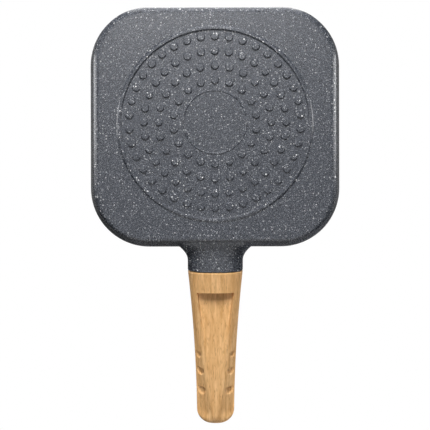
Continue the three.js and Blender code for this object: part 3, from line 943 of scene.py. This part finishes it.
def wood_material():
    """Light brown wood with straight grain along the handle, short dark pores and an oiled sheen."""
    nodes = Surface("straight_grain_wood")
    streak = nodes.noise(nodes.along_handle(*STREAK_SIZE), 1.0, 4.0, 0.75)
    pale = nodes.remap(streak, 0.25, 0.75, 0.0, 1.0)
    colour = nodes.mix(pale, srgb(213, 161, 101), srgb(249, 205, 149))
    for size, detail, roughness, shown, cover, tone in GRAIN_LAYERS:
        layer = nodes.noise(nodes.along_handle(*size), 1.0, detail, roughness)
        mask = nodes.remap(layer, *shown, 0.0, cover)
        colour = nodes.mix(mask, colour, srgb(*tone))
    nodes.shade("Base Color", colour)
    nodes.shade("Roughness", nodes.remap(streak, 0.2, 0.8, 0.46, 0.62))
    nodes.shade("Specular IOR Level", 0.15)
    # The last layer, the pores, is sunk into the wood
    nodes.bump(nodes.maths("SUBTRACT", streak, mask), 0.2, 0.1)
    return nodes.material


def steel_material():
    """Zinc-bright steel with fine turning marks."""
    nodes = Surface("zinc_bright_steel")
    marks = nodes.noise(nodes.along_handle(*MARK_SIZE), 1.0)
    bright = nodes.remap(marks, 0.3, 0.7, 0.0, 1.0)
    nodes.shade("Base Color", nodes.mix(bright, srgb(168, 170, 172), srgb(206, 207, 208)))
    nodes.shade("Metallic", 1.0)
    nodes.shade("Roughness", nodes.remap(marks, 0.2, 0.8, 0.25, 0.4))
    nodes.bump(marks, 0.15, 0.05)
    return nodes.material


# Camera, lights and floor

VIEW_DISTANCE = 1000
PIXEL_SIZE = 0.76
IMAGE_WIDTH = 430
SENSOR = 36
PAN_CENTRE_PIXEL = (215.2, 124.0)
CAMERA_ROLL = 0.13

# Light from all round, the room that reflections show, and the directions, as heights from -1 to 1,
# between which they turn from the white below to the room
AMBIENT = 0.06
ROOM = 0.05
WHITE_END = -0.9
ROOM_START = -0.4

# The floor's reach in metres, and how far it lies under the pan in mm
GROUND_REACH = 4
GROUND_DROP = 0.4
GROUND_TONE = 0.86


def make_camera():
    """Straight below the pan, with +Y up and the pan's middle where the photograph has it."""
    data = bpy.data.cameras.new("camera")
    data.sensor_width = SENSOR
    data.lens = SENSOR * VIEW_DISTANCE / (PIXEL_SIZE * IMAGE_WIDTH)
    camera = add_object("camera", data)
    right = (PAN_CENTRE_PIXEL[0] - IMAGE_WIDTH / 2) * PIXEL_SIZE
    down = (PAN_CENTRE_PIXEL[1] - IMAGE_WIDTH / 2) * PIXEL_SIZE
    camera.location = (right * MM, (PAN_CENTRE + down) * MM, -VIEW_DISTANCE * MM)
    camera.rotation_euler = (0, math.pi, math.radians(CAMERA_ROLL))
    bpy.context.scene.camera = camera


def add_lamp(name, place, target, size, light, spread=180, shine=True, lit=True):
    """A soft lamp that gives a face turned to it at the target this share of plain light.

    A lamp without shine isn't seen in reflections, and one that isn't lit is seen in them only.
    """
    aim = Vector(target) - Vector(place)
    data = bpy.data.lights.new(name, "AREA")
    data.shape = "RECTANGLE"
    data.size, data.size_y = size
    data.spread = math.radians(spread)
    beam = 1 - data.spread / 2 / math.tan(data.spread / 2)
    data.energy = light * beam * math.pi ** 2 * aim.length_squared
    lamp = add_object(name, data)
    lamp.location = place
    lamp.rotation_euler = aim.to_track_quat("-Z", "Y").to_euler()
    lamp.visible_glossy = shine
    lamp.visible_diffuse = lit


def make_lamps():
    """The studio's lamps, with places and sizes in metres."""
    middle = (0, PAN_CENTRE * MM, 0)
    grip = (0, -0.12, 0.035)
    add_lamp("key_below", (0.07, 0.62, -1.9), middle, (0.7, 0.35), 0.26, lit=False)
    add_lamp("broad_key_below", (0.1, 1.6, -1.3), middle, (1.4, 1.0), 1.7, shine=False)
    add_lamp("front_below", (0, -0.3, -2.0), (0, 0, 0), (1.0, 1.0), 0.05, shine=False)
    add_lamp("grip_below", (0, -0.396, -0.18), grip, (0.15, 0.15), 0.36, spread=60, shine=False)
    add_lamp("front_gloss", (0, -0.99, -0.34), (0, -0.05, 0), (1.2, 2.0), 1.45, lit=False)
    add_lamp("far_gloss", (0, 1.12, 0.1), middle, (0.8, 2.2), 2.2, lit=False)
    for side in (1, -1):
        add_lamp(f"side_gloss_{side}", (0.5 * side, 0.14, -0.03), middle, (0.16, 0.5), 1.0, lit=False)
        add_lamp(f"wall_gloss_{side}", (0.46 * side, 0.16, 1.0), middle, (0.5, 0.3), 0.0055, lit=False)
    add_lamp("rim_above", (0, 0.52, 1.0), middle, (0.5, 0.4), 0.15)
    add_lamp("key_above", (-1.0, -0.7, 0.9), middle, (0.9, 0.9), 0.7, shine=False)
    add_lamp("fill_above", (1.1, 0.5, 0.9), middle, (0.9, 0.9), 0.4, shine=False)


def make_world():
    """White behind the object and in reflections from below, a dim room above, even ambient light."""
    world = bpy.data.worlds.new("studio")
    bpy.context.scene.world = world
    nodes = Nodes(world, "Background")
    direction = nodes.add("ShaderNodeTexCoord").outputs["Generated"]
    height = nodes.add("ShaderNodeSeparateXYZ", {0: direction}).outputs["Z"]
    room = nodes.remap(height, WHITE_END, ROOM_START, 1.0, ROOM)
    path = nodes.add("ShaderNodeLightPath").outputs
    strength = AMBIENT
    for ray, seen in (("Glossy", room), ("Camera", 1.0), ("Transmission", 1.0)):
        links = {0: path[f"Is {ray} Ray"], 2: strength, 3: seen}
        strength = nodes.add("ShaderNodeMix", links).outputs[0]
    nodes.shade("Color", (1, 1, 1, 1))
    nodes.shade("Strength", strength)


def make_floor():
    """A pale floor under the pan, seen from above only, so that the view from below looks past it."""
    data = bpy.data.meshes.new("floor")
    corners = [(x * GROUND_REACH, y * GROUND_REACH, -GROUND_DROP * MM) for x, y in QUARTERS]
    data.from_pydata(corners, [], [(0, 1, 2, 3)])
    material = bpy.data.materials.new("pale_floor")
    nodes = Nodes(material, "Principled BSDF")
    nodes.shade("Base Color", (GROUND_TONE, GROUND_TONE, GROUND_TONE, 1))
    nodes.shade("Roughness", 0.8)
    nodes.shade("Specular IOR Level", 0)
    below = nodes.add("ShaderNodeNewGeometry").outputs["Backfacing"]
    clear = nodes.add("ShaderNodeBsdfTransparent").outputs[0]
    either = nodes.add("ShaderNodeMixShader", {0: below, 1: nodes.shader.outputs[0], 2: clear})
    nodes.set(nodes.tree.nodes["Material Output"], "Surface", either.outputs[0])
    data.materials.append(material)
    floor = add_object("floor", data)
    for ray in ("diffuse", "glossy", "transmission", "volume_scatter", "shadow"):
        setattr(floor, "visible_" + ray, False)


def dress_steel(material):
    """The hidden steel pieces keep their solids."""
    for name in ("thread_insert", "handle_screw", "flat_washer", "spring_washer"):
        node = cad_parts[name]
        node.data.materials.clear()
        node.data.materials.append(material)


bpy.context.scene.view_settings.view_transform = "Standard"
make_camera()
make_world()
make_lamps()
make_floor()
coat = coat_material()
wood = wood_material()
make_pan_body(coat)
make_grip(wood)
make_plug(wood)
dress_steel(steel_material())
